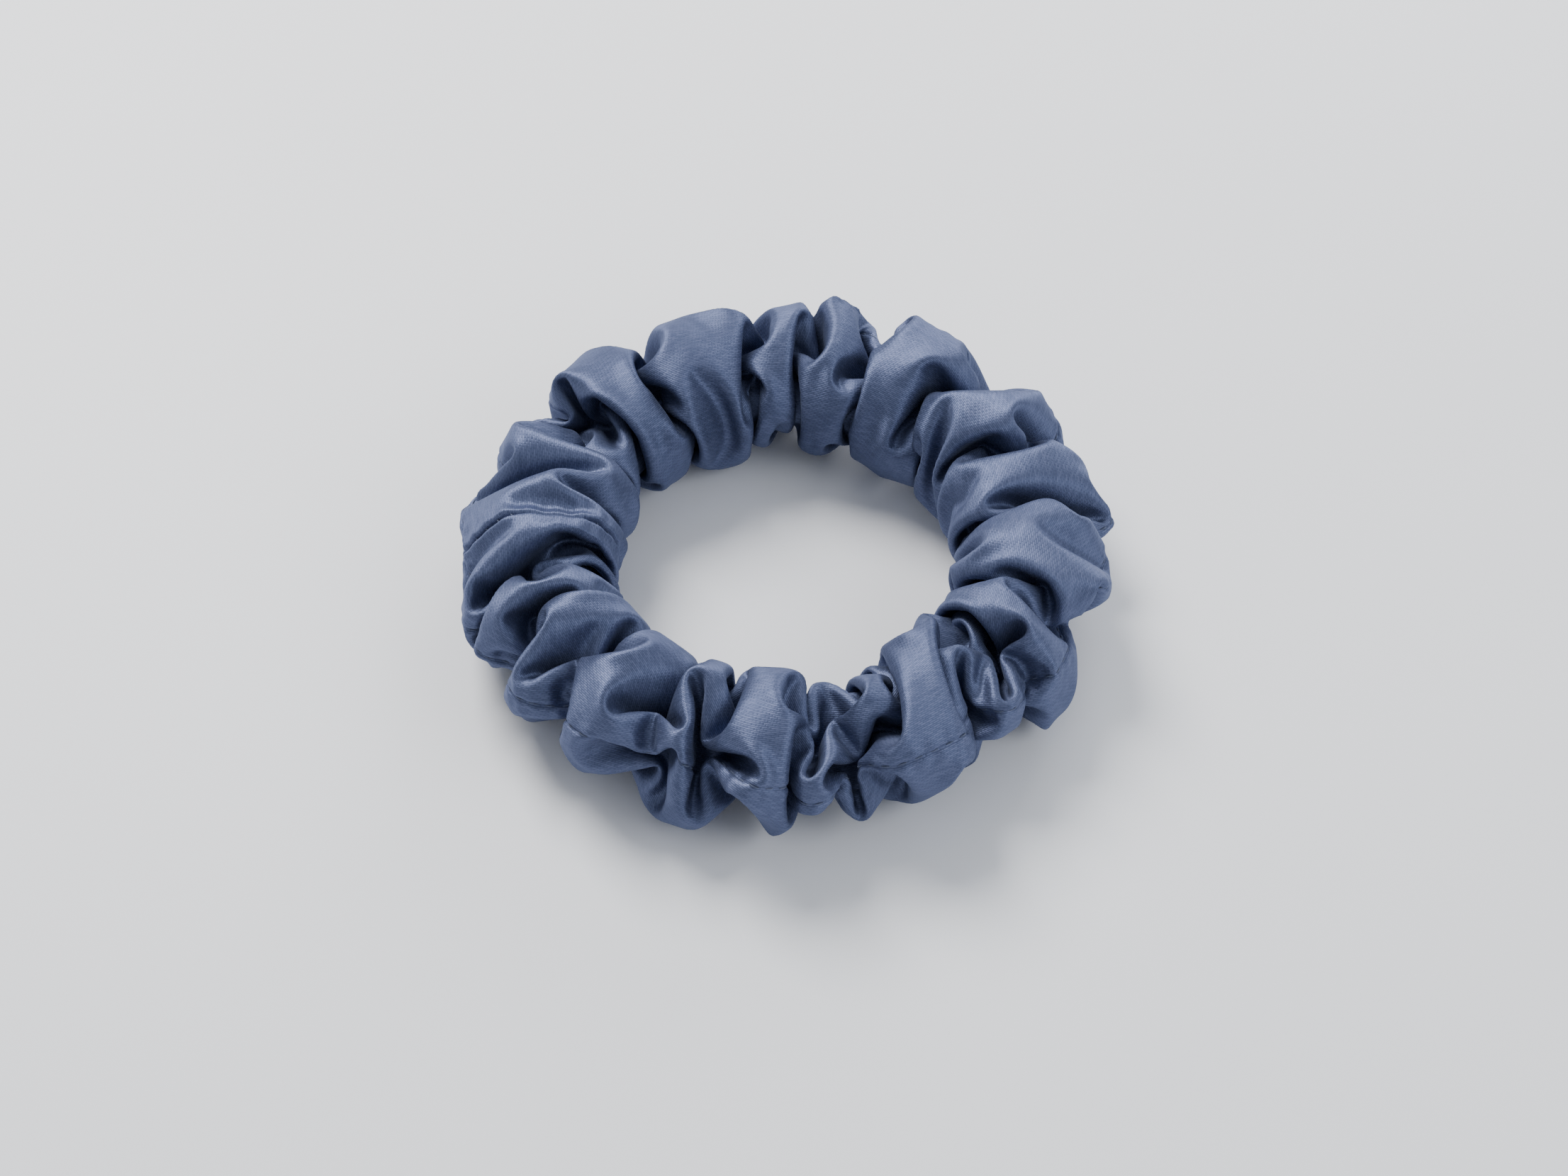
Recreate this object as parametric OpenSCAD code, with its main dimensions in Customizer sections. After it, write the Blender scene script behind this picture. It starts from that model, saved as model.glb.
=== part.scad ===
// Scrunchie: a satin sleeve gathered over a loop of flat elastic.
// Millimetres, +Z up. The ring lies flat on z = 0 and its axis is the Z axis.
// Gather 0 is on +X and they count anticlockwise from above. The closing
// seam, where the sleeve's two ends meet, is across the gather on -X, so
// that gather is two halves: end a before the seam and end b after it.

/* [Ring] */
// Radius of the ring that the sleeve's middle follows
ring_r = 40; // [36:0.5:50]
// Number of gathers round the ring, an even number
gathers = 16; // [12:2:18]
// Space between one gather and the next
gather_gap = 0.3; // [0.1:0.1:0.6]

/* [Sleeve] */
// Radius of a gather at its fullest
crest_r = 12.8; // [10:0.2:14]
// Radius of the sleeve where it is pinched between two gathers
neck_r = 8.8; // [7.6:0.2:9.6]
// Thickness of the satin
fabric_t = 0.4; // [0.3:0.05:0.8]
// How much a gather flattens where it rests on a table
foot_sag = 0.6; // [0.4:0.1:1]
// How deep the closing seam pulls the sleeve in
seam_pinch = 1.4; // [0.8:0.1:2]

/* [Long seam] */
// Width of the seam allowance inside the sleeve
allowance_w = 5; // [3:0.5:6]
// Thickness of the sewing thread
thread_d = 0.25; // [0.15:0.05:0.4]
// Distance from the sleeve's wall to the row of stitches
stitch_inset = 0.8; // [0.5:0.1:1.5]

/* [Elastic] */
// How far the elastic loop lies inside the sleeve's middle
elastic_inset = 5; // [4:0.25:5.5]
// Width of the flat elastic
elastic_w = 6; // [4:0.5:8]
// Thickness of the flat elastic
elastic_t = 1.1; // [0.8:0.1:1.5]
// Length of the overlap where the elastic's ends are sewn together
elastic_lap = 9; // [6:0.5:10]
// Space between the two layers of the overlap
lap_gap = 0.1; // [0.05:0.05:0.2]

/* [Closing seam] */
// Space between the closing stitch and the satin it lies on
stitch_clear = 0.05; // [0.02:0.01:0.1]

/* [Hidden] */
step = 360 / gathers;            // angle that one gather covers
closing = gathers / 2;           // the gather that the closing seam crosses
seam_angle = closing * step;     // where the closing seam is
centre_z = crest_r - foot_sag;   // height of the sleeve's middle
elastic_r = ring_r - elastic_inset; // radius of the middle of the elastic
gather_l = 2 * (ring_r + crest_r) * tan(step / 2); // length round the outside
seam_half_w = 2;                 // half of the width that the seam pulls in
fullness_step = 0.2;             // one unit of fullness, in millimetres
far = 200;                       // beyond the whole ring
round_fn = 64;                   // smoothness of what is turned
thread_fn = 16;                  // smoothness of a single thread
profile_n = 16;                  // points along a gather's profile
roundness = 0.8;                 // under 1 makes a gather fuller at its necks
stitch_rows = 3;                 // zigzag rows over the elastic's overlap
stitch_teeth = 8;                // turns in one zigzag row
stitch_fill = 0.7;               // share of a row's height that its zigzag uses
stitch_margin = 1;               // left plain at each end of the overlap
lap_turn = elastic_lap / elastic_r * 90 / PI; // half the overlap, in degrees
lap_rise = 0.75;                 // share of what is left that the step out takes
lap_step = (step / 2 - lap_turn) * lap_rise;  // degrees that the step out takes

// How much fuller or slimmer than crest_r each gather is, in fullness steps,
// and how far it leans over, in degrees. Both lists repeat round the ring.
fullness = [0, 2, -1, 1, 0, -2, 1, 2, 0, 1, -1, 2, 0, -1, 2, -2];
lean = [0, 6, -8, 4, 0, 7, -5, 3, 0, -6, 8, -4, 0, 5, -7, 4];

// Every gather but the one that the closing seam divides
WHOLE = [for (k = [0 : gathers - 1]) if (k != closing) k];

function two_digits(k) = k < 10 ? str("0", k) : str(k);
function named(word, k) = str(word, "_", two_digits(k));

function pick(list, k) = list[k % len(list)];
function crest_of(k) = crest_r + fullness_step * pick(fullness, k);
function direction(a) = [cos(a), sin(a)];

// Radius of gather k at a distance s along it from its middle
function radius_at(k, s) =
    neck_r
    + (crest_of(k) - neck_r) * pow(max(0, cos(180 * s / gather_l)), roundness)
    - (k == closing ? seam_pinch * exp(-pow(s / seam_half_w, 2)) : 0);

// Radius of the closing gather's surface at a distance s from the seam, where
// it runs straight to the next point of the profile
function beside_seam(s) =
    let (reach = gather_l / profile_n, share = s / reach)
        (1 - share) * radius_at(closing, 0) + share * radius_at(closing, reach);

// Everything between two angles, less half a gap on each side
module sector(from, to, low, high) {
    half = (to - from) / 2;
    tip = gather_gap / 2 / sin(half) * direction(from + half);
    translate([0, 0, low])
        linear_extrude(high - low)
            polygon([tip, tip + far * direction(from), tip + far * direction(to)]);
}

// Puts what stands on the Z axis onto the sleeve's middle at gather k
module at_gather(k) {
    rotate([0, 0, k * step])
        translate([ring_r, 0, centre_z])
            rotate([pick(lean, k) - 90, 0, 0])
                children();
}

// Gather k as a full round body, taken in all round by inset
module puff(k, inset) {
    profile = [
        for (i = [0 : profile_n])
            let (s = (i / profile_n - 0.5) * gather_l)
                [radius_at(k, s) - inset, s]
    ];
    at_gather(k)
        rotate_extrude($fn = round_fn)
            polygon(concat([[0, -gather_l / 2]], profile, [[0, gather_l / 2]]));
}

// A layer of gather k between two depths under its surface
module layer(k, outer, inner) {
    difference() {
        puff(k, outer);
        puff(k, inner);
    }
}

// Everything outside the ring between two heights from its middle
module outward_strip(low, high) {
    translate([0, 0, centre_z + low])
        linear_extrude(high - low)
            difference() {
                circle(r = ring_r + far, $fn = round_fn);
                circle(r = ring_r, $fn = round_fn);
            }
}

// The satin of gather k between two angles: the wall, with a flat foot where
// it rests, and the seam allowance that stands inward along the long seam
module sleeve(k, from, to) {
    color("slategray")
        intersection() {
            union() {
                difference() {
                    puff(k, 0);
                    intersection() {
                        puff(k, fabric_t);
                        sector(from - step, to + step, fabric_t, far);
                    }
                }
                intersection() {
                    layer(k, fabric_t / 2, fabric_t + allowance_w);
                    outward_strip(-fabric_t, fabric_t);
                }
            }
            sector(from, to, 0, far);
        }
}

// The long seam's needle thread on top of the allowance and its bobbin
// thread underneath
module seam_thread(k, from, to) {
    depth = fabric_t + stitch_inset;
    color("lightsteelblue")
        for (low = [fabric_t, -fabric_t - thread_d])
            intersection() {
                layer(k, depth, depth + thread_d);
                outward_strip(low, low + thread_d);
                sector(from, to, 0, far);
            }
}

// A whole ring of flat elastic between two radii
module elastic_ring(inner, outer) {
    translate([0, 0, centre_z - elastic_w / 2])
        linear_extrude(elastic_w)
            difference() {
                circle(r = outer, $fn = round_fn);
                circle(r = inner, $fn = round_fn);
            }
}

module elastic(from, to) {
    color("whitesmoke")
        intersection() {
            elastic_ring(elastic_r - elastic_t / 2, elastic_r + elastic_t / 2);
            sector(from, to, 0, far);
        }
}

lap_inner = elastic_r + elastic_t / 2 + lap_gap; // inner face of the lapped end
lap_outer = lap_inner + elastic_t;               // outer face of the lapped end

// The end that steps outward and lies over the other end
module elastic_end_a() {
    under = seam_angle - lap_turn; // where the other end begins
    elastic(seam_angle - step / 2, under);
    color("whitesmoke") {
        intersection() {
            elastic_ring(elastic_r - elastic_t / 2, lap_outer);
            sector(under - lap_step, under, 0, far);
        }
        intersection() {
            elastic_ring(lap_inner, lap_outer);
            sector(under - lap_step, seam_angle + lap_turn, 0, far);
        }
    }
}

// The end that lies underneath, on the inside of the loop
module elastic_end_b() {
    elastic(seam_angle - lap_turn, seam_angle + step / 2);
}

// Zigzag rows of thread lying on a face of the overlap, between two radii
module zigzag(inner, outer) {
    reach = elastic_lap / 2 - stitch_margin; // half the length of a row
    rise = elastic_w / 2 / stitch_rows * stitch_fill;
    turns = [0 : stitch_teeth];
    back = [stitch_teeth : -1 : 0];
    across = [for (i = turns) (2 * i / stitch_teeth - 1) * reach];
    wave = [for (i = turns) (i % 2 == 0 ? -rise : rise)];
    first = (stitch_rows - 1) / 2;           // rows on each side of the middle
    color("white")
        for (row = [0 : stitch_rows - 1])
            intersection() {
                rotate([0, 0, seam_angle])
                    translate([0, 0, centre_z + (row - first) * elastic_w / stitch_rows])
                        rotate([90, 0, 90])
                            linear_extrude(far)
                                polygon(concat(
                                    [for (i = turns) [across[i], wave[i] + thread_d]],
                                    [for (i = back) [across[i], wave[i] - thread_d]]
                                ));
                elastic_ring(inner, outer);
            }
}

// The ring of hand stitches that closes the sleeve, on end a's side
module closing_stitch() {
    aside = gather_gap / 2 + thread_d; // distance from the seam's middle
    lift = thread_d / 2 + stitch_clear;
    color("lightsteelblue")
        intersection() {
            at_gather(closing)
                translate([0, 0, -aside])
                    rotate_extrude($fn = round_fn)
                        translate([beside_seam(aside) + lift, 0])
                            circle(d = thread_d, $fn = thread_fn);
            sector(seam_angle - step / 2, seam_angle, 0, far);
        }
}

for (k = WHOLE) {
    from = (k - 0.5) * step;
    to = (k + 0.5) * step;
    sleeve(k, from, to);
    elastic(from, to);
    seam_thread(k, from, to);
}
before = seam_angle - step / 2; // where the closing gather begins
after = seam_angle + step / 2;  // where it ends
sleeve(closing, before, seam_angle);  // sleeve_end_a
sleeve(closing, seam_angle, after);  // sleeve_end_b
elastic_end_a();
elastic_end_b();
seam_thread(closing, before, seam_angle);  // seam_thread_end_a
seam_thread(closing, seam_angle, after);  // seam_thread_end_b
zigzag(lap_outer, lap_outer + thread_d);  // elastic_needle_thread
zigzag(elastic_r - elastic_t / 2 - thread_d, elastic_r - elastic_t / 2);  // elastic_bobbin_thread
closing_stitch();
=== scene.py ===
import math
import bpy
import numpy as np
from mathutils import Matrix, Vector


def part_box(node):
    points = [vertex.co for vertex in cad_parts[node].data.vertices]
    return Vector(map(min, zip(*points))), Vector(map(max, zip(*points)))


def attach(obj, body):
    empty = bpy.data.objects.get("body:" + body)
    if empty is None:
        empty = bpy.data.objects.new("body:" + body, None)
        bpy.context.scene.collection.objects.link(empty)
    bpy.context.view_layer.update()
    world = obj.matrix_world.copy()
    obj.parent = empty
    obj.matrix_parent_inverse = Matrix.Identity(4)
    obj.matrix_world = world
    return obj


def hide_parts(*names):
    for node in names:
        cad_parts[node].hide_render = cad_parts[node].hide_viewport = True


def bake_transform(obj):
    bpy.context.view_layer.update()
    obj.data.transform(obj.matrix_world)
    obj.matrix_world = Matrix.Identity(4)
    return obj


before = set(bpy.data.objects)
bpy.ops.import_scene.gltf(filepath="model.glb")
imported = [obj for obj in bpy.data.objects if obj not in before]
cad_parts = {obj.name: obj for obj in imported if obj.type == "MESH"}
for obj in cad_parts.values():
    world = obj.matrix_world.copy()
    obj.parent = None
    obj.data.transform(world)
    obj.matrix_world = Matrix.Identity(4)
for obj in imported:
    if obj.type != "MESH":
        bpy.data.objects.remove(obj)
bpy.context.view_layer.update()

# ---------------------------------------------------------------- sizes (millimetres)
MM = 0.001


def box_mm(node):
    low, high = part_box(node)
    return np.array(low) / MM, np.array(high) / MM


sleeve_low, sleeve_high = box_mm("sleeve_gather_00")
band_low, band_high = box_mm("elastic_span_00")
RING_R = (sleeve_low[0] + sleeve_high[0]) / 2       # middle of the sleeve
BAND_T = 1.1                                        # the elastic's thickness
BAND_R = band_high[0] - BAND_T / 2                  # middle of the elastic
BAND_W = band_high[2] - band_low[2]
MID_Z = (band_low[2] + band_high[2]) / 2
GATHERS = 16
CLOSING = GATHERS // 2                              # the gap that starts at the closing seam
STEP = 360 / GATHERS
CLOTH_L = 560.0                                     # the strip before it was gathered
CLOTH_C = 78.0                                      # once round the sleeve
THREAD = 0.26                                       # thickness of the sewing thread
VOLUME = 85000.0                                    # cubic mm inside the gathered sleeve
LEAN_OUT = 1.4                                      # middle of the lobes, outside RING_R
LIMIT = 13.9                                        # reach from there of a middling lobe
PINCH, CLOSING_PINCH = 6.5, 14.2                    # reach at a fold line, and at the seam
PINCH_S = 2.5                                       # strip length that a pinch takes up
GRIP, CLOSING_GRIP = 0.2, 0.4                       # share of its way a fold line is turned
SEAM_FLAT = 7                                       # cloth that stays flat beside the seam
WAVE, NOISE = 3.0, 0.05                             # unevenness before it is gathered
FIRM = 0.12                                         # how hard the folds' room is kept

# Each fold line round the ring, from the closing seam on: its angle at the inside of
# the ring and at the outside, in degrees.
FOLDS = [
    (180, 181), (187, 201), (220, 204), (231, 222), (233, 244), (249, 260), (275.5, 273),
    (285.6, 278.5), (301.5, 281), (332, 311), (338, 318), (340.5, 341), (362, 364),
    (388, 381), (406.5, 401), (410, 433), (454, 442), (462.6, 457), (483.4, 483.5),
    (491, 507), (521, 508),
]


# ---------------------------------------------------------------- the cloth solver
class Cloth:
    """A closed tube of cloth: row by row round the ring, each row once round the sleeve"""

    TWO_APART, BEND = 1.96, 0.12        # a point and its next but one: least gap, stiffness

    def __init__(self, points):
        self.x = points.astype(np.float32).copy()
        self.v = np.zeros_like(self.x)
        self.n, self.m = points.shape[:2]
        self.gap = (CLOTH_L / self.n, CLOTH_C / self.m)
        self.pairs = None
        self.rings = []
        for axis, size in ((0, self.n), (1, self.m)):
            i = np.arange(size)
            for first in range(2):
                a = i[first::2]
                self.rings.append((axis, a, (a + 1) % size, self.gap[axis], 1.0, False))
            for first in range(4):
                a = i[first::4]
                self.rings.append((axis, a, (a + 2) % size, self.TWO_APART * self.gap[axis],
                                   self.BEND, True))

    def hold(self, axis, a, b, rest, stiff, push_only):
        """Bring rows (or columns) a and b back to their distance"""
        x = self.x
        pa, pb = (x[a], x[b]) if axis == 0 else (x[:, a], x[:, b])
        d = pb - pa
        size = np.sqrt(np.einsum("...k,...k->...", d, d)) + 1e-9
        f = (size - rest) / size
        if push_only:
            f = np.minimum(f, 0)
        c = (0.5 * stiff * f)[..., None] * d
        if axis == 0:
            x[a] = pa + c
            x[b] = pb - c
        else:
            x[:, a] = pa + c
            x[:, b] = pb - c

    def hold_diagonals(self, stiff):
        """The same across each cell, which makes the cloth resist shear"""
        x = self.x
        rest = math.hypot(*self.gap)
        i = np.arange(self.n)
        for side in (1, -1):
            for first in range(2):
                a = i[first::2]
                b = (a + 1) % self.n
                pa, pb = x[a], np.roll(x[b], -side, 1)
                d = pb - pa
                size = np.sqrt(np.einsum("...k,...k->...", d, d)) + 1e-9
                c = (0.5 * stiff * (size - rest) / size)[..., None] * d
                x[a] = pa + c
                x[b] -= np.roll(c, side, 1)

    def sweep(self, shear):
        for ring in self.rings:
            self.hold(*ring)
        self.hold_diagonals(shear)

    def smooth(self, amount):
        """Stiffness against bending"""
        def spread(f):
            return 0.25 * (np.roll(f, 1, 0) + np.roll(f, -1, 0)
                           + np.roll(f, 1, 1) + np.roll(f, -1, 1)) - f
        self.x -= amount * spread(spread(self.x))

    def outward(self):
        """Normals as long as the area of a cell"""
        x = self.x
        return 0.25 * np.cross(np.roll(x, -1, 0) - np.roll(x, 1, 0),
                               np.roll(x, -1, 1) - np.roll(x, 1, 1))

    def volume(self):
        a = self.x
        b = np.roll(a, -1, 0)
        c = np.roll(b, -1, 1)
        d = np.roll(a, -1, 1)
        return float(((a * np.cross(b, c)).sum() + (a * np.cross(c, d)).sum()) / 6)

    def find_pairs(self, reach):
        """Points that are close in space but not in the cloth"""
        low, cells = -500, 4096         # a corner of the grid, and its cells each way
        p = self.x.reshape(-1, 3)
        cell = np.floor((p - low) / reach).astype(np.int64)
        key = (cell[:, 0] * cells + cell[:, 1]) * cells + cell[:, 2]
        order = np.argsort(key, kind="stable")
        known, start, count = np.unique(key[order], return_index=True, return_counts=True)
        first, second = [], []
        for da in (0, 1):
            for db in (-1, 0, 1):
                for dc in (-1, 0, 1):
                    if (da, db, dc) < (0, 0, 0):
                        continue
                    other = key + (da * cells + db) * cells + dc
                    at = np.minimum(np.searchsorted(known, other), len(known) - 1)
                    who = np.nonzero(known[at] == other)[0]
                    c = count[at[who]]
                    if not len(c):
                        continue
                    i = np.repeat(who, c)
                    skip = np.repeat(start[at[who]] - np.concatenate([[0], np.cumsum(c)[:-1]]), c)
                    j = order[skip + np.arange(len(i))]
                    if (da, db, dc) == (0, 0, 0):
                        i, j = i[i < j], j[i < j]
                    d = p[i] - p[j]
                    near = (d * d).sum(-1) < reach * reach
                    first.append(i[near])
                    second.append(j[near])
        i, j = np.concatenate(first), np.concatenate(second)
        di = np.abs(i // self.m - j // self.m)
        dj = np.abs(i % self.m - j % self.m)
        apart = np.maximum(np.minimum(di, self.n - di), np.minimum(dj, self.m - dj)) > 2
        self.pairs = (i[apart], j[apart])

    def part(self, distance):
        """Keep layers of cloth a distance apart"""
        i, j = self.pairs
        p = self.x.reshape(-1, 3)
        d = p[i] - p[j]
        square = (d * d).sum(-1)
        hit = square < distance * distance
        if not hit.any():
            return
        i, j, d = i[hit], j[hit], d[hit]
        size = np.sqrt(square[hit]) + 1e-6
        c = (0.3 * (distance - size) / size)[:, None] * d
        total = len(p)
        share = 1 / np.maximum(1, 0.5 * (np.bincount(i, minlength=total)
                                         + np.bincount(j, minlength=total)))
        for k in range(3):
            moved = (np.bincount(i, weights=c[:, k], minlength=total)
                     - np.bincount(j, weights=c[:, k], minlength=total))
            p[:, k] += (moved * share).astype(np.float32)


def turn(x, angle):
    """Turn each point round the ring's axis"""
    c, s = np.cos(angle), np.sin(angle)
    px, py = x[..., 0].copy(), x[..., 1].copy()
    x[..., 0] = c * px - s * py
    x[..., 1] = s * px + c * py


def keep_within(x, ring, core, limit, firm, floor):
    """Outside the elastic, inside the room that the folds have, above the table"""
    r = np.hypot(x[..., 0], x[..., 1]) + 1e-6
    dr, dz = r - (ring - (RING_R - BAND_R)), x[..., 2] - MID_Z
    q = np.hypot(dr, dz) + 1e-6
    f = np.maximum(core - q, 0) / q
    x[..., 0] *= 1 + f * dr / r
    x[..., 1] *= 1 + f * dr / r
    x[..., 2] += f * dz
    r = np.hypot(x[..., 0], x[..., 1]) + 1e-6
    dr, dz = r - ring - LEAN_OUT, x[..., 2] - MID_Z
    q = np.hypot(dr, dz) / limit
    f = firm * (np.where(q > 1, 1 / q, 1) - 1)
    x[..., 0] *= 1 + f * dr / r
    x[..., 1] *= 1 + f * dr / r
    x[..., 2] += f * dz
    x[..., 2] = np.maximum(x[..., 2], floor)


def soft_noise(n, m, waves, seed):
    """Seeded unevenness with about so many waves along n rows"""
    rng = np.random.default_rng(seed)
    f = np.fft.fft2(rng.standard_normal((n, m)))
    fi, fj = np.fft.fftfreq(n) * n, np.fft.fftfreq(m) * m
    f *= np.exp(-(((np.abs(fi) - waves) / 6) ** 2))[:, None] * np.exp(-((fj / 2) ** 2))[None, :]
    f = np.real(np.fft.ifft2(f))
    return f / f.std()


def fold_rows(n):
    """For each of n rows: its angle, its wave, and the fold line nearest to it"""
    base, inside, outside = 10, 0.47, 0.92      # strip a lobe takes: mm, and mm per degree
    closed = np.vstack([FOLDS, [[FOLDS[0][0] + 360, FOLDS[0][1] + 360]]]).astype(float)
    span = np.diff(closed, axis=0)
    cloth = base + inside * span[:, 0] + outside * span[:, 1]
    cloth *= CLOTH_L / cloth.sum()
    at = np.concatenate([[0], np.cumsum(cloth)])
    s = (np.arange(n) + 0.5) / n * CLOTH_L
    lobe = np.searchsorted(at, s) - 1
    share = (s - at[lobe]) / cloth[lobe]
    near = np.where(share < 0.5, lobe, lobe + 1)
    away = np.minimum(s - at[lobe], at[lobe + 1] - s)
    middle = np.radians(np.interp(s, at, closed.mean(1)))
    closing = (near % len(FOLDS) == 0)
    # the wave is low at a fold line and high between two, but high at the closing seam
    wave = -np.cos(2 * np.pi * share)
    wave = np.where(lobe == 0, np.cos(np.pi * share), wave)
    wave = np.where(lobe == len(FOLDS) - 1, -np.cos(np.pi * share), wave)
    return middle, wave, np.radians(closed[near]), away, closing, cloth[lobe]


def room_for(away, closing, cloth):
    """How far each row may reach: little at a fold line, more in a lobe of more cloth"""
    middling = 26
    lobe = LIMIT * np.clip(0.98 + 0.12 * (cloth - middling) / 10, 0.84, 1.07)
    pinched = np.where(closing, CLOSING_PINCH, PINCH)
    width = np.where(closing, 0.6 * PINCH_S, PINCH_S)
    return (lobe - (lobe - pinched) * np.exp(-((away / width) ** 2)))[:, None]


def beside_seam(from_seam):
    """1 at the closing seam, 0 away from it"""
    return np.exp(-((from_seam / SEAM_FLAT) ** 4))


def nearer_way(turn_by):
    """The same turn, but never more than half way round"""
    return (turn_by + np.pi) % (2 * np.pi) - np.pi


def advance(c, volume, guide, look, ring, core, room, how):
    """One step: momentum, pressure, guiding, then cloth, layers and room in turn"""
    before = c.x.copy()
    c.x += how["keep_going"] * c.v
    short = how["pressure"] * (volume - c.volume()) / volume
    c.x += np.float32(np.clip(short, -how["swell"], how["swell"])) * c.outward()
    if guide:
        guide()
    if look:
        c.find_pairs(how["space"] * how["look_ahead"])
    for _ in range(how["sweeps"]):
        c.sweep(how["shear"])
        c.part(how["space"])
        keep_within(c.x, ring, core, room, FIRM, how["floor"])
    c.smooth(how["smooth"])
    c.v = c.x - before
    fast = float(np.abs(c.v).max())
    if fast > how["fastest"]:
        c.v *= how["fastest"] / fast


LOOK_EVERY = 4                                      # steps between searches for near layers
COARSE = dict(keep_going=0.88, pressure=0.05, swell=0.03, space=1.7, look_ahead=1.7, sweeps=8,
              shear=0.3, floor=0.6, smooth=0.25, fastest=1.5)
FINE = dict(keep_going=0.85, pressure=0.15, swell=0.08, space=1.0, look_ahead=1.7, sweeps=6,
            shear=0.25, floor=0.3, smooth=0.2, fastest=0.8)


def gather_sleeve():
    """The sleeve at its full length, pushed together over the elastic, fold by fold"""
    n, m, steps, squeezing = 320, 44, 240, 192
    final, wave, line, away, closing, cloth = fold_rows(n)
    room = room_for(away, closing, cloth)
    pull = (np.where(closing, CLOSING_GRIP, GRIP) * np.exp(-((away / 2) ** 2)))[:, None]
    wave = wave[:, None]
    from_seam = ((np.arange(n) + 0.5) / n * CLOTH_L + CLOTH_L / 2) % CLOTH_L - CLOTH_L / 2
    from_seam = from_seam[:, None]
    flat = CLOSING_GRIP * beside_seam(from_seam)
    core = 3.8 + 3.4 * beside_seam(from_seam)       # as near to the elastic as the cloth gets
    closed_at = np.radians(FOLDS[0][0])
    even = (np.arange(n) + 0.5) / n * 2 * np.pi
    even += np.mean(final - even)

    # the seam along the sleeve wanders: it starts turned by a little here and there
    degrees = np.degrees(final) % 360
    twist = 0.15 + sum(h * np.exp(-((((degrees - c + 180) % 360 - 180) / 14) ** 2))
                       for c, h in ((244, 0.8), (305, 0.6), (62, 0.9), (108, 0.3)))
    angle = (np.arange(m) / m * 2 * np.pi)[None, :] + twist[:, None]
    full_r, wide, high = CLOTH_L / 2 / np.pi, 15.5, 7.2
    off = wide * np.cos(angle) * (1 + 0.03 * wave) + 0.6 * WAVE * np.cos(angle) * wave
    z = (MID_Z + high * np.sin(angle) + WAVE * np.sin(angle) * wave
         + NOISE * soft_noise(n, m, 20, 3))
    c = Cloth(np.stack([(full_r + off) * np.cos(even)[:, None],
                        (full_r + off) * np.sin(even)[:, None], z], -1))
    ring = full_r
    shrink = (RING_R / full_r) ** (1 / squeezing)
    drift = ((final - even) / squeezing)[:, None]
    steering, easing = 0.92 * steps, 0.6 * squeezing
    across_ring = 26                    # from a fold line's inner end to its outer end

    def to_fold_lines():
        r = np.hypot(c.x[..., 0], c.x[..., 1]) + 1e-6
        a = np.arctan2(c.x[..., 1], c.x[..., 0])
        u = np.clip((r - ring) / across_ring + 0.5, 0, 1)
        turn(c.x, pull * nearer_way(line[:, :1] * (1 - u) + line[:, 1:] * u - a))
        turn(c.x, flat * nearer_way(closed_at + 0.9 * from_seam / r - a))

    for step in range(steps):
        if step < squeezing:
            r = np.hypot(c.x[..., 0], c.x[..., 1])
            a = np.arctan2(c.x[..., 1], c.x[..., 0]) + drift
            r += ring * (shrink - 1)
            ring *= shrink
            c.x[..., 0] = r * np.cos(a)
            c.x[..., 1] = r * np.sin(a)
        advance(c, VOLUME * ring / RING_R, to_fold_lines if step < steering else None,
                step % LOOK_EVERY == 0, ring, core,
                room + (LIMIT + 4 - room) * max(0, 1 - step / easing), COARSE)
    return c.x


def halve(x):
    """Twice as many rows and columns"""
    for axis in (0, 1):
        mid = (9 * (x + np.roll(x, -1, axis)) - np.roll(x, 1, axis) - np.roll(x, -2, axis)) / 16
        x = np.stack([x, mid], axis + 1).reshape(
            [s * (2 if a == axis else 1) for a, s in enumerate(x.shape)])
    return x


def settle(x):
    """Finer folds on twice the grid"""
    c = Cloth(halve(x))
    _, _, _, away, closing, cloth = fold_rows(c.n)
    room = room_for(away, closing, cloth)
    from_seam = from_start((np.arange(c.n) + 0.5) / c.n * CLOTH_L, CLOTH_L)
    core = 3.6 + 3.4 * beside_seam(from_seam)[:, None]
    for step in range(60):
        advance(c, VOLUME, None, step % LOOK_EVERY == 0, RING_R, core, room, FINE)
    return c.x.astype(float)


# ---------------------------------------------------------------- the surface
def spline(size, t, slope=False):
    """Weights of a closed uniform cubic B-spline at places t, counted in grid steps"""
    base = np.floor(t).astype(int)
    f = t - base
    if slope:
        w = [-0.5 * (1 - f) ** 2, 1.5 * f * f - 2 * f, -1.5 * f * f + f + 0.5, 0.5 * f * f]
    else:
        w = [(1 - f) ** 3 / 6, (3 * f ** 3 - 6 * f * f + 4) / 6,
             (-3 * f ** 3 + 3 * f * f + 3 * f + 1) / 6, f ** 3 / 6]
    out = np.zeros((len(t), size))
    rows = np.arange(len(t))
    for k in range(4):
        np.add.at(out, (rows, (base - 1 + k) % size), w[k])
    return out


def places(length, coarse, fine, zone):
    """Places round a closed length, closer together within zone of its start"""
    n_fine, n_rest = round(zone / fine), round((length - 2 * zone) / coarse)
    a = np.linspace(0, zone, n_fine, endpoint=False)
    b = np.linspace(zone, length - zone, n_rest, endpoint=False)
    c = np.linspace(length - zone, length, n_fine, endpoint=False)
    return np.concatenate([a, b, c])


def from_start(t, length):
    return np.minimum(t, length - t)


def unit(v):
    return v / (np.linalg.norm(v, axis=-1, keepdims=True) + 1e-12)


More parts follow.
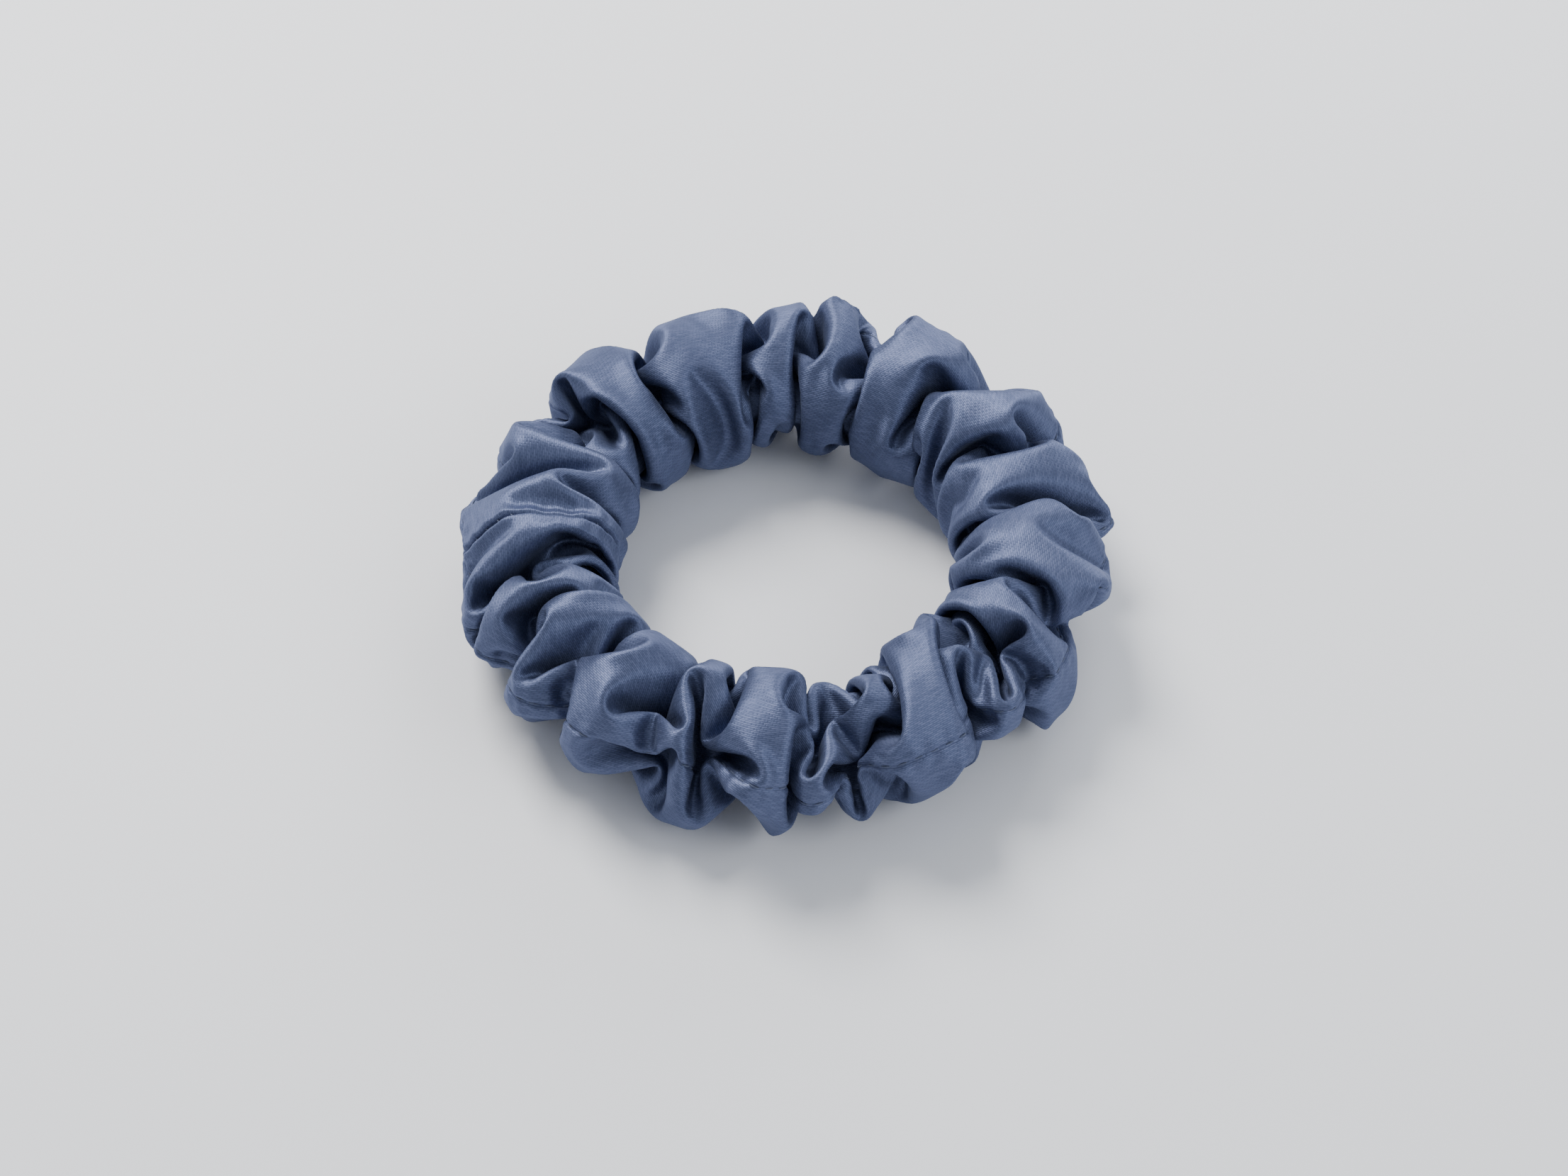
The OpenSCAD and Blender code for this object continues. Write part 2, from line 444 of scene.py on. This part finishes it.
class Surface:
    """The smooth surface through a closed grid of cloth"""

    def __init__(self, grid):
        self.grid = grid
        self.n, self.m = grid.shape[:2]

    def at(self, s, v):
        """Points and unit normals at cloth places s (along) and v (round), as a grid"""
        ts, tv = s / CLOTH_L * self.n - 0.5, v / CLOTH_C * self.m
        a, da = spline(self.n, ts), spline(self.n, ts, True)
        b, db = spline(self.m, tv), spline(self.m, tv, True)
        p = np.einsum("ij,jkc,lk->ilc", a, self.grid, b, optimize=True)
        ps = np.einsum("ij,jkc,lk->ilc", da, self.grid, b, optimize=True)
        pv = np.einsum("ij,jkc,lk->ilc", a, self.grid, db, optimize=True)
        return p, unit(np.cross(ps, pv))


def hump(t, middle, width):
    return np.exp(-(((t - middle) / width) ** 2))


def relief(s, v):
    """How far the cloth stands out at its two seams: a groove, its rolled edges, puckers"""
    d = from_start(v, CLOTH_C)[None, :]
    e = from_start(s, CLOTH_L)[:, None]
    side = np.where(v < CLOTH_C / 2, 1.0, -1.0)[None, :]
    along, round_ = s[:, None], v[None, :]
    long_seam = (-0.34 * hump(d, 0, 0.32) + 0.10 * hump(d, 0.9, 0.6)
                 + 0.10 * np.sin(2 * np.pi * along / 3.3 + 1.7 * np.sin(along / 9) + side)
                 * hump(d, 1.2, 1.6))
    closing = (-0.85 * hump(e, 0, 0.36) + 0.12 * hump(e, 1.0, 0.7)
               + 0.15 * np.sin(2 * np.pi * round_ / 3.9 + 1.3 * np.sin(round_ / 5))
               * hump(e, 1.6, 1.8))
    return long_seam + closing


surface = Surface(settle(gather_sleeve()))
s_at = places(CLOTH_L, 0.62, 0.15, 3.0)
v_at = places(CLOTH_C, 0.75, 0.25, 2.5)
points, normals = surface.at(s_at, v_at)
points = points + normals * relief(s_at, v_at)[..., None]
points[..., 2] = np.maximum(points[..., 2], 0.02)   # just clear of the floor
normals = np.cross(np.roll(points, -1, 0) - np.roll(points, 1, 0),
                   np.roll(points, -1, 1) - np.roll(points, 1, 1))
normals = unit(normals)                             # with the seams' relief


def sector_of(x, y, s):
    """Which gap between gathers each place is in; the closing seam parts two of them"""
    sector = np.floor(np.degrees(np.arctan2(y, x)) % 360 / STEP).astype(int) % GATHERS
    sector[(sector == CLOSING - 1) & (s < CLOTH_L / 8)] = CLOSING
    sector[(sector == CLOSING) & (s > CLOTH_L * 7 / 8)] = CLOSING - 1
    return sector


def across(obj):
    """Bake a piece's place in the world into its mesh"""
    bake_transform(obj)


def stand_for(k, part, whole):
    """Hide the CAD nodes whose place a piece between gathers k and k + 1 takes"""
    if k != CLOSING:
        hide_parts(f"{part}_{k:02d}")
    if k == CLOSING - 1:
        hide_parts(f"{whole}_end_a")
    if k == CLOSING:
        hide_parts(f"{whole}_end_b")


def new_object(name, vertices, faces, material, smooth=True, vertex_normals=None, uv=None):
    """A mesh object; smooth is for all its faces, or a list with one value for each"""
    mesh = bpy.data.meshes.new(name)
    faces = faces.tolist() if isinstance(faces, np.ndarray) else faces
    mesh.from_pydata((np.asarray(vertices) * MM).tolist(), [], faces)
    mesh.update()
    if uv is not None:
        layer = mesh.uv_layers.new(name="cloth")
        layer.data.foreach_set("uv", np.asarray(uv, np.float32).reshape(-1))
    mesh.polygons.foreach_set(
        "use_smooth", [smooth] * len(faces) if isinstance(smooth, bool) else smooth)
    if vertex_normals is not None:
        mesh.normals_split_custom_set_from_vertices(np.asarray(vertex_normals).tolist())
    mesh.materials.append(material)
    obj = bpy.data.objects.new(name, mesh)
    bpy.context.scene.collection.objects.link(obj)
    return obj


# ---------------------------------------------------------------- materials
class Nodes:
    """A material, and short ways to add to its node tree"""

    def __init__(self, name):
        self.material = bpy.data.materials.new(name)
        self.material.use_nodes = True
        self.tree = self.material.node_tree
        self.shader = self.tree.nodes["Principled BSDF"]

    def add(self, kind, **values):
        node = self.tree.nodes.new(kind)
        for key, value in values.items():
            setattr(node, key, value)
        return node

    def link(self, a, b):
        self.tree.links.new(a, b)

    def put(self, socket, value):
        """Link an output, or set a constant"""
        if hasattr(value, "is_output"):
            self.link(value, socket)
        else:
            socket.default_value = value

    def math(self, operation, a, b=None, c=None):
        node = self.add("ShaderNodeMath", operation=operation)
        for socket, value in zip(node.inputs, (a, b, c)):
            if value is not None:
                self.put(socket, value)
        return node.outputs[0]

    def noise(self, vector, scale, detail):
        node = self.add("ShaderNodeTexNoise")
        self.link(vector, node.inputs["Vector"])
        node.inputs["Scale"].default_value = scale
        node.inputs["Detail"].default_value = detail
        return node.outputs["Fac"]

    def ramp(self, factor, stops):
        node = self.add("ShaderNodeValToRGB")
        self.link(factor, node.inputs[0])
        elements = node.color_ramp.elements
        while len(elements) < len(stops):
            elements.new(0.5)
        for element, (place, colour) in zip(elements, stops):
            element.position = place
            element.color = colour
        return node.outputs[0]

    def split(self, vector):
        node = self.add("ShaderNodeSeparateXYZ")
        self.link(vector, node.inputs[0])
        return node.outputs[0], node.outputs[1]

    def bump(self, height, strength, distance, normal=None):
        node = self.add("ShaderNodeBump")
        node.inputs["Strength"].default_value = strength
        node.inputs["Distance"].default_value = distance
        self.link(height, node.inputs["Height"])
        if normal is not None:
            self.link(normal, node.inputs["Normal"])
        return node.outputs[0]

    def finish(self, colour, **constants):
        """Link the colour, and set the shader's own constants (names with _ for a space)"""
        self.link(colour, self.shader.inputs["Base Color"])
        for name, value in constants.items():
            self.shader.inputs[name.replace("_", " ")].default_value = value
        return self.material


def satin_material():
    """Satin: floats of thread along the strip, each tied down at its two ends; painted highlight
    on each float and painted shade at its ties and edges
    """
    n = Nodes("satin")
    uv = n.add("ShaderNodeUVMap", uv_map="cloth").outputs[0]
    along, over = n.split(uv)
    pitch, float_length, stagger = 0.30, 1.2, 0.4
    row = n.math("DIVIDE", over, pitch)
    lane = n.math("FLOOR", row)
    thread = n.math("SUBTRACT", n.math("FRACT", row), 0.5)
    wobble = n.math("MULTIPLY", n.noise(uv, 0.35, 2.0), 1.2)
    place = n.math("ADD", n.math("DIVIDE", along, float_length), n.math("MULTIPLY", lane, stagger))
    place = n.math("ADD", place, wobble)
    crown = n.math("SUBTRACT", 1.0, n.math("MULTIPLY", n.math("MULTIPLY", thread, thread), 3.4))
    # tie: 0 in the middle of a float and 0.5 at its ends
    tie = n.math("ABSOLUTE", n.math("SUBTRACT", n.math("FRACT", place), 0.5))
    free = n.math("SMOOTH_MIN", n.math("MULTIPLY", n.math("SUBTRACT", 0.5, tie), 5.0), 1.0, 0.4)
    height = n.math("MULTIPLY", crown, n.math("MULTIPLY_ADD", free, 0.55, 0.45))
    which = n.add("ShaderNodeCombineXYZ")
    n.link(lane, which.inputs[0])
    n.link(n.math("FLOOR", place), which.inputs[1])
    chance = n.add("ShaderNodeTexWhiteNoise", noise_dimensions="2D")
    n.link(which.outputs[0], chance.inputs["Vector"])
    blotch, slub = n.noise(uv, 0.045, 3.0), n.noise(uv, 1.6, 2.0)
    # painted highlight and shade: the weave's relief (height) makes the colour lighter on each
    # float's crown and darker at its ties and edges; chance, blotch and slub add random tone
    tone = n.math("MULTIPLY_ADD", height, 0.46, n.math("MULTIPLY", chance.outputs["Value"], 0.26))
    tone = n.math("MULTIPLY_ADD", blotch, 0.22, tone)
    tone = n.math("MULTIPLY_ADD", slub, 0.16, tone)
    colour = n.ramp(tone, [(0.15, (0.049, 0.060, 0.118, 1)), (0.6, (0.090, 0.110, 0.197, 1)),
                           (0.95, (0.138, 0.158, 0.270, 1))])
    roughness = n.math("ADD", 0.53, n.math("MULTIPLY", n.math("SUBTRACT", slub, 0.5), 0.16))
    n.link(roughness, n.shader.inputs["Roughness"])
    weave = n.bump(height, 0.5, 0.00008)
    n.link(n.bump(n.noise(uv, 0.28, 3.0), 0.15, 0.0005, weave), n.shader.inputs["Normal"])
    tangent = n.add("ShaderNodeTangent", direction_type="UV_MAP", uv_map="cloth")
    n.link(tangent.outputs[0], n.shader.inputs["Tangent"])
    return n.finish(colour, Anisotropic=0.7, Anisotropic_Rotation=0.25, Metallic=0.58,
                    Specular_Tint=(0.54, 0.62, 0.88, 1), Specular_IOR_Level=0.5,
                    Sheen_Weight=0.06, Sheen_Roughness=0.4, Sheen_Tint=(0.60, 0.68, 0.92, 1))


def thread_material(name, dark, light):
    """Sewing thread: fine fibres over slower turns of light and dark"""
    n = Nodes(name)
    where = n.add("ShaderNodeTexCoord").outputs["Object"]
    fibres, turns = n.noise(where, 9000, 3.0), n.noise(where, 2600, 1.0)
    tone = n.math("ADD", n.math("MULTIPLY", fibres, 0.5), n.math("MULTIPLY", turns, 0.5))
    n.link(n.bump(fibres, 0.5, 0.0001), n.shader.inputs["Normal"])
    return n.finish(n.ramp(tone, [(0.25, dark), (0.75, light)]), Roughness=0.7, Sheen_Weight=0.1)


def elastic_material():
    """Braided elastic: a herringbone of fine yarn between lengthwise ribs"""
    n = Nodes("elastic")
    uv = n.add("ShaderNodeUVMap", uv_map="cloth").outputs[0]
    along, over = n.split(uv)
    rib = n.math("SUBTRACT", n.math("FRACT", n.math("DIVIDE", over, 0.85)), 0.5)
    rib = n.math("MULTIPLY", n.math("ABSOLUTE", rib), 1.6)
    slant = n.math("FRACT", n.math("ADD", n.math("DIVIDE", along, 0.5), rib))
    yarn = n.math("MULTIPLY", n.math("ABSOLUTE", n.math("SUBTRACT", slant, 0.5)), 1.6)
    yarn = n.math("MULTIPLY", n.math("SUBTRACT", 1.0, yarn), 0.7)
    tone = n.math("ADD", yarn, n.math("MULTIPLY", n.noise(uv, 3.0, 3.0), 0.3))
    n.link(n.bump(tone, 0.6, 0.00015), n.shader.inputs["Normal"])
    # painted shade: the colour follows the braid's relief, grey in the grooves between yarns and
    # near white on their crowns, with random tone from the noise
    colour = n.ramp(tone, [(0.1, (0.48, 0.48, 0.46, 1)), (0.9, (0.86, 0.86, 0.84, 1))])
    return n.finish(colour, Roughness=0.75, Sheen_Weight=0.2)


SATIN = satin_material()
BLUE_THREAD = thread_material("blue_thread", (0.035, 0.045, 0.09, 1), (0.10, 0.125, 0.21, 1))
WHITE_THREAD = thread_material("white_thread", (0.62, 0.62, 0.60, 1), (0.92, 0.92, 0.90, 1))
ELASTIC = elastic_material()


# ---------------------------------------------------------------- the satin sleeve
rows, columns = len(s_at), len(v_at)
i, j = np.meshgrid(np.arange(rows), np.arange(columns), indexing="ij")
i2, j2 = (i + 1) % rows, (j + 1) % columns
corners = np.stack([i * columns + j, i2 * columns + j, i2 * columns + j2, i * columns + j2], -1)
corners = corners.reshape(-1, 4)
s_next, v_next = np.append(s_at[1:], CLOTH_L), np.append(v_at[1:], CLOTH_C)
face_uv = np.stack([
    np.stack([s_at[i], v_at[j]], -1), np.stack([s_next[i], v_at[j]], -1),
    np.stack([s_next[i], v_next[j]], -1), np.stack([s_at[i], v_next[j]], -1)], 2).reshape(-1, 4, 2)
flat = points.reshape(-1, 3)
centre = flat[corners].mean(1)
sector = sector_of(centre[:, 0], centre[:, 1], s_at[i].reshape(-1))

for k in range(GATHERS):
    mine = np.nonzero(sector == k)[0]
    used, index = np.unique(corners[mine], return_inverse=True)
    piece = new_object(f"sleeve_{k:02d}", flat[used], index.reshape(-1, 4), SATIN,
                       vertex_normals=normals.reshape(-1, 3)[used], uv=face_uv[mine])
    across(piece)
    stand_for(k, "sleeve_gather", "sleeve")


# ---------------------------------------------------------------- stitches
def capsules(centres, directions, ups, length):
    """Short bent threads: each is a tube whose ends dive into the cloth"""
    steps, sides = 6, 6
    bow, least = 0.45, 0.04             # of the thread's thickness: rise, and the tips' size
    ring = np.arange(sides) / sides * 2 * np.pi
    t = np.linspace(-1, 1, steps + 1)
    vertices, faces = [], []
    for c, d, u in zip(centres, directions, ups):
        w = np.cross(d, u)
        base = len(vertices)
        middles = [c + d * x * length / 2 + u * THREAD * (bow - 2 * bow * x * x) for x in t]
        for x, middle in zip(t, middles):
            size = THREAD / 2 * math.sqrt(max(least, 1 - x ** 4))
            for a in ring:
                vertices.append(middle + size * (math.cos(a) * u + math.sin(a) * w))
        for r in range(steps):
            for q in range(sides):
                a, b = base + r * sides + q, base + r * sides + (q + 1) % sides
                faces.append((a, b, b + sides, a + sides))
        for end, order in ((0, -1), (steps, 1)):
            tip = len(vertices)
            vertices.append(middles[end])
            for q in range(sides):
                a, b = base + end * sides + q, base + end * sides + (q + 1) % sides
                faces.append((a, b, tip)[::order])
    return vertices, faces


def level(directions, normals):
    """The directions as they run in the cloth's surface"""
    return unit(directions - normals * (directions * normals).sum(-1, keepdims=True))


SEAM_STITCHES, SEAM_LENGTH, SEAM_DEPTH = 200, 1.7, 0.30
CLOSING_STITCHES, CLOSING_LENGTH, CLOSING_DEPTH = 26, 1.3, 0.62

start = np.array([0.0])                             # where both seams lie
seam_s = (np.arange(SEAM_STITCHES) + 0.5) / SEAM_STITCHES * CLOTH_L
here, up_here = (a[:, 0] for a in surface.at(seam_s, start))
ahead = surface.at(seam_s + 0.5, start)[0][:, 0]
run = level(unit(ahead - here), up_here)
here = here - up_here * SEAM_DEPTH
seam_sector = sector_of(here[:, 0], here[:, 1], seam_s)
for k in range(GATHERS):
    mine = seam_sector == k
    obj = new_object(f"seam_stitches_{k:02d}",
                     *capsules(here[mine], run[mine], up_here[mine], SEAM_LENGTH), BLUE_THREAD)
    across(obj)
    stand_for(k, "seam_thread", "seam_thread")

# the closing stitches whip over the seam at a slant
round_v = (np.arange(CLOSING_STITCHES) + 0.5) / CLOSING_STITCHES * CLOTH_C
here, up_here = (a[0] for a in surface.at(start, round_v))
beside = surface.at(start, round_v + 0.4)[0][0]
before = surface.at(np.array([CLOTH_L - 0.4]), round_v)[0][0]
slant = level(unit(unit(here - before) + 0.5 * unit(beside - here)), up_here)
whip = new_object("closing_stitches",
                  *capsules(here - up_here * CLOSING_DEPTH, slant, up_here, CLOSING_LENGTH),
                  BLUE_THREAD)
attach(whip, "end_a")
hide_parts("closing_stitch")


# ---------------------------------------------------------------- the elastic
RIBS = 7                                            # lengthwise ribs of the braid
LAP_HALF = 4.5                                      # half of what its ends overlap
STEP_OUT = 2.5                                      # degrees in which the upper end steps out


def band_profile():
    """A flat braid in section: thick in the middle of each rib, thin between them"""
    over = np.linspace(-1, 1, RIBS * 6 + 1)
    thick = BAND_T / 2 * (0.86 + 0.14 * np.cos(np.pi * RIBS * (over + 1)) * -1)
    thick = thick * np.sqrt(np.clip(1 - np.abs(over) ** 14, 0.02, 1))
    top = np.stack([thick, over * BAND_W / 2], -1)
    low = np.stack([-thick[::-1], over[::-1] * BAND_W / 2], -1)
    return np.concatenate([top, low])


def band(name, from_angle, to_angle, radius_at):
    """A stretch of the elastic, closed at both ends"""
    profile = band_profile()
    steps = max(8, int((to_angle - from_angle) * 1.6))
    angles = np.linspace(from_angle, to_angle, steps + 1)
    arc = np.radians(angles) * BAND_R
    size = len(profile)
    side = np.linalg.norm(np.roll(profile, -1, 0) - profile, axis=1)
    around = np.concatenate([[0], np.cumsum(side)])
    vertices, faces, uv = [], [], []
    for a in angles:
        r = radius_at(a)
        direction = np.array([math.cos(math.radians(a)), math.sin(math.radians(a)), 0])
        for p in profile:
            vertices.append(direction * (r + p[0]) + np.array([0, 0, MID_Z + p[1]]))
    for r in range(steps):
        for q in range(size):
            a, b = r * size + q, r * size + (q + 1) % size
            faces.append((a, a + size, b + size, b))
            uv += [(arc[r], around[q]), (arc[r + 1], around[q]),
                   (arc[r + 1], around[q + 1]), (arc[r], around[q + 1])]
    for end, order in ((0, 1), (steps, -1)):
        faces.append(tuple(range(end * size, (end + 1) * size))[::order])
        uv += [(arc[end], around[q]) for q in range(size)][::order]
    return new_object(name, vertices, faces, ELASTIC, smooth=[len(f) == 4 for f in faces], uv=uv)


end_a_low, _ = box_mm("elastic_end_a")
lap_r = abs(end_a_low[0]) - BAND_T / 2
lap_turn = math.degrees(LAP_HALF / BAND_R)


def level_band(a):
    return BAND_R


def lapped(a):
    """Radius of the end that steps outward over the other"""
    t = min(1.0, max(0.0, (a - (180 - lap_turn - STEP_OUT)) / STEP_OUT))
    return BAND_R + (lap_r - BAND_R) * t * t * (3 - 2 * t)


for k in range(GATHERS):
    low = 180 - lap_turn if k == CLOSING else k * STEP
    high = 180 + lap_turn if k == CLOSING - 1 else (k + 1) * STEP
    obj = band(f"elastic_{k:02d}", low, high, lapped if k == CLOSING - 1 else level_band)
    stand_for(k, "elastic_span", "elastic")
    across(obj)

for name in ("elastic_needle_thread", "elastic_bobbin_thread"):
    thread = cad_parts[name]
    thread.data.materials.clear()
    thread.data.materials.append(WHITE_THREAD)


# ---------------------------------------------------------------- floor, light, camera
def floor_material():
    n = Nodes("floor")
    where = n.add("ShaderNodeTexCoord").outputs["Object"]
    colour = n.ramp(n.noise(where, 6.0, 3.0),
                    [(0.3, (0.91, 0.915, 0.945, 1)), (0.7, (0.935, 0.94, 0.97, 1))])
    return n.finish(colour, Roughness=0.55)


half = 3000
floor = new_object("floor", [(x, y, 0) for x, y in ((-half, -half), (half, -half),
                                                    (half, half), (-half, half))],
                   [(0, 1, 2, 3)], floor_material(), smooth=False)


def aim(obj, place, target):
    obj.location = Vector(place)
    obj.rotation_euler = (Vector(target) - Vector(place)).to_track_quat("-Z", "Y").to_euler()


def area_light(name, place, size, power, colour):
    """A round softbox aimed at the ring's middle"""
    data = bpy.data.lights.new(name, "AREA")
    data.shape, data.size = "DISK", size
    data.energy, data.color = power, colour
    obj = bpy.data.objects.new(name, data)
    bpy.context.scene.collection.objects.link(obj)
    aim(obj, place, (0, 0, MID_Z * MM))


area_light("key", (-0.30, 0.42, 0.60), 0.42, 7.9, (1.0, 0.99, 0.97))
area_light("fill", (0.55, -0.25, 0.45), 0.5, 2.2, (0.92, 0.96, 1.0))
area_light("back", (0.25, 0.60, 0.30), 0.35, 2.0, (0.97, 0.98, 1.0))

world = bpy.data.worlds.new("studio")
bpy.context.scene.world = world
world.use_nodes = True
background = world.node_tree.nodes["Background"]
background.inputs["Color"].default_value = (0.83, 0.87, 0.93, 1)
background.inputs["Strength"].default_value = 0.56

ELEVATION = math.radians(50)                        # the photo's angle
DISTANCE = 0.48                                     # metres
FRAME_WIDTH = 0.26                                  # what the camera sees across at the ring
data = bpy.data.cameras.new("camera")
data.sensor_width = 36
data.lens = data.sensor_width * DISTANCE / FRAME_WIDTH
data.clip_start = 0.01
camera = bpy.data.objects.new("camera", data)
bpy.context.scene.collection.objects.link(camera)
forward = Vector((0, math.cos(ELEVATION), -math.sin(ELEVATION)))
up = Vector((0, math.sin(ELEVATION), math.cos(ELEVATION)))
target = Vector((-0.0004, 0, MID_Z * MM)) - up * 0.0055
aim(camera, target - forward * DISTANCE, target)
bpy.context.scene.camera = camera
